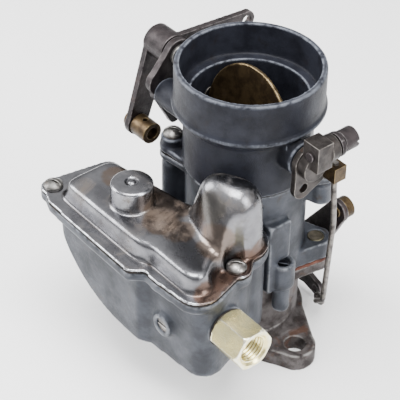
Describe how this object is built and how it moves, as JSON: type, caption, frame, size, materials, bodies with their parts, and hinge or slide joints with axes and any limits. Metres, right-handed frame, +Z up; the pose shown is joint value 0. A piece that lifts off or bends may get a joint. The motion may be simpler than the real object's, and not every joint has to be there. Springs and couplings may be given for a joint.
{
  "type": "carburetor",
  "caption": "Downdraft carburetor with side float bowl, stamped bowl cover, air horn collar, throttle and choke linkages.",
  "frame": {"origin": "centre of the throttle bore at the bottom face of the mounting flange", "axes": "+Z up the throat to the air horn, +X along the stud line towards the fuel inlet, +Y away from the float bowl"},
  "size_m": [0.1141, 0.1045, 0.1288],
  "materials": {
    "horn_zinc": "dark tumbled zinc casting",
    "body_zinc": "blue-grey zinc casting",
    "iron": "brown-rusted cast iron",
    "copper_gasket": "red-brown fibre gasket",
    "dark_gasket": "dark fibre gasket",
    "cover_steel": "bright stamped steel with brown tarnish",
    "screw_steel": "worn plated steel",
    "brown_steel": "dark brown-purple oxidised steel",
    "grey_steel": "grey-brown worn steel",
    "pale_brass": "pale bright brass",
    "old_brass": "aged brass",
    "olive_steel": "yellow-passivated steel",
    "piston_leather": "oiled leather cup"
  },
  "bodies": {
    "casting": {"throttle_body": "iron", "body_gasket": "copper_gasket", "body_casting": "body_zinc", "horn_gasket": "dark_gasket", "air_horn": "horn_zinc", "body_screws": "olive_steel", "horn_screws": "screw_steel", "bowl_cover": "cover_steel", "cover_gasket": "dark_gasket", "cover_screws": "screw_steel", "cover_cap": "cover_steel", "booster_venturi": "body_zinc", "main_nozzle": "old_brass", "metering_jet": "old_brass", "idle_tube": "old_brass", "bowl_plug": "screw_steel", "passage_plug": "horn_zinc", "inlet_fitting": "pale_brass", "inlet_gasket": "dark_gasket", "needle_seat": "old_brass", "float_pin": "screw_steel", "rocker_pin": "screw_steel", "discharge_ball": "screw_steel", "idle_spring": "screw_steel", "crank_bracket": "brown_steel", "bracket_screw": "screw_steel", "crank_stud": "screw_steel"},
    "throttle": {"throttle_shaft": "screw_steel", "throttle_valve": "old_brass", "throttle_valve_screws": "old_brass", "throttle_lever": "brown_steel", "pump_lever": "brown_steel"},
    "throttle_swivel": {"throttle_swivel": "old_brass"},
    "stop_screw": {"stop_screw": "screw_steel"},
    "choke": {"choke_shaft": "grey_steel", "choke_valve": "old_brass", "choke_valve_screws": "old_brass", "choke_lever": "grey_steel", "choke_block": "grey_steel", "choke_clamp_screw": "brown_steel"},
    "link": {"link_swivel": "old_brass", "link_rod": "grey_steel", "link_clip": "screw_steel"},
    "bellcrank": {"bellcrank": "brown_steel"},
    "crank_swivel": {"crank_swivel": "old_brass"},
    "float": {"float": "old_brass", "float_lever": "old_brass"},
    "inlet_needle": {"inlet_needle": "screw_steel"},
    "pump_rocker": {"pump_rocker": "grey_steel"},
    "connector_rod": {"connector_rod": "grey_steel"},
    "metering_rod": {"metering_rod": "old_brass"},
    "pump_plunger": {"pump_plunger": "piston_leather"},
    "idle_needle": {"idle_needle": "old_brass"}
  },
  "joints": [
    {"name": "throttle_turn", "type": "hinge", "parent": "casting", "child": "throttle", "pos_m": [0, 0, 0.018], "axis": [0, -1, 0], "range_deg": [0, 72], "stiffness_Nm_per_rad": 0.02, "springref_deg": -28.65},
    {"name": "throttle_swivel_turn", "type": "hinge", "parent": "throttle", "child": "throttle_swivel", "pos_m": [0.02215, 0.03475, 0.05486], "axis": [0, 1, 0], "continuous": true},
    {"name": "stop_screw_turn", "type": "hinge", "parent": "throttle", "child": "stop_screw", "pos_m": [-0.014, 0.0266, 0.02], "axis": [0, 0, 1], "continuous": true},
    {"name": "choke_turn", "type": "hinge", "parent": "casting", "child": "choke", "pos_m": [0, 0, 0.102], "axis": [1, 0, 0], "range_deg": [-6, 66]},
    {"name": "link_swing", "type": "hinge", "parent": "choke", "child": "link", "pos_m": [0.033, 0.0104, 0.0955], "axis": [1, 0, 0], "range_deg": [-67.5, 7.5]},
    {"name": "bellcrank_turn", "type": "hinge", "parent": "casting", "child": "bellcrank", "pos_m": [-0.04, -0.008, 0.1185], "axis": [1, 0, 0], "range_deg": [-20, 25]},
    {"name": "crank_swivel_turn", "type": "hinge", "parent": "bellcrank", "child": "crank_swivel", "pos_m": [-0.044, -0.01943, 0.08331], "axis": [1, 0, 0], "continuous": true},
    {"name": "float_lift", "type": "hinge", "parent": "casting", "child": "float", "pos_m": [0.027, -0.046, 0.043], "axis": [0, 1, 0], "range_deg": [-3.5, 3]},
    {"name": "inlet_needle_slide", "type": "slide", "parent": "casting", "child": "inlet_needle", "axis": [1, 0, 0], "range_m": [-0.0006, 0.0005]},
    {"name": "pump_rocker_turn", "type": "hinge", "parent": "casting", "child": "pump_rocker", "pos_m": [0.018, -0.031, 0.079], "axis": [0, 1, 0], "range_deg": [0, 63.5]},
    {"name": "connector_rod_slide", "type": "slide", "parent": "casting", "child": "connector_rod", "axis": [0, 0, 1], "range_m": [0, 0.0077]},
    {"name": "metering_rod_slide", "type": "slide", "parent": "casting", "child": "metering_rod", "axis": [0, 0, 1], "range_m": [0, 0.0064]},
    {"name": "pump_plunger_slide", "type": "slide", "parent": "casting", "child": "pump_plunger", "axis": [0, 0, -1], "range_m": [0, 0.0074]},
    {"name": "idle_needle_turn", "type": "hinge", "parent": "casting", "child": "idle_needle", "pos_m": [-0.038, -0.006, 0.024], "axis": [1, 0, 0], "continuous": true}
  ],
  "couplings": [
    {"joint": "link_swing", "follows": "choke_turn", "ratio": -1},
    {"joint": "inlet_needle_slide", "follows": "float_lift", "m_per_rad": 0.008},
    {"joint": "pump_rocker_turn", "follows": "throttle_turn", "ratio": 0.86},
    {"joint": "connector_rod_slide", "follows": "throttle_turn", "m_per_rad": 0.005968},
    {"joint": "metering_rod_slide", "follows": "throttle_turn", "m_per_rad": 0.004934},
    {"joint": "pump_plunger_slide", "follows": "throttle_turn", "m_per_rad": 0.00573}
  ]
}
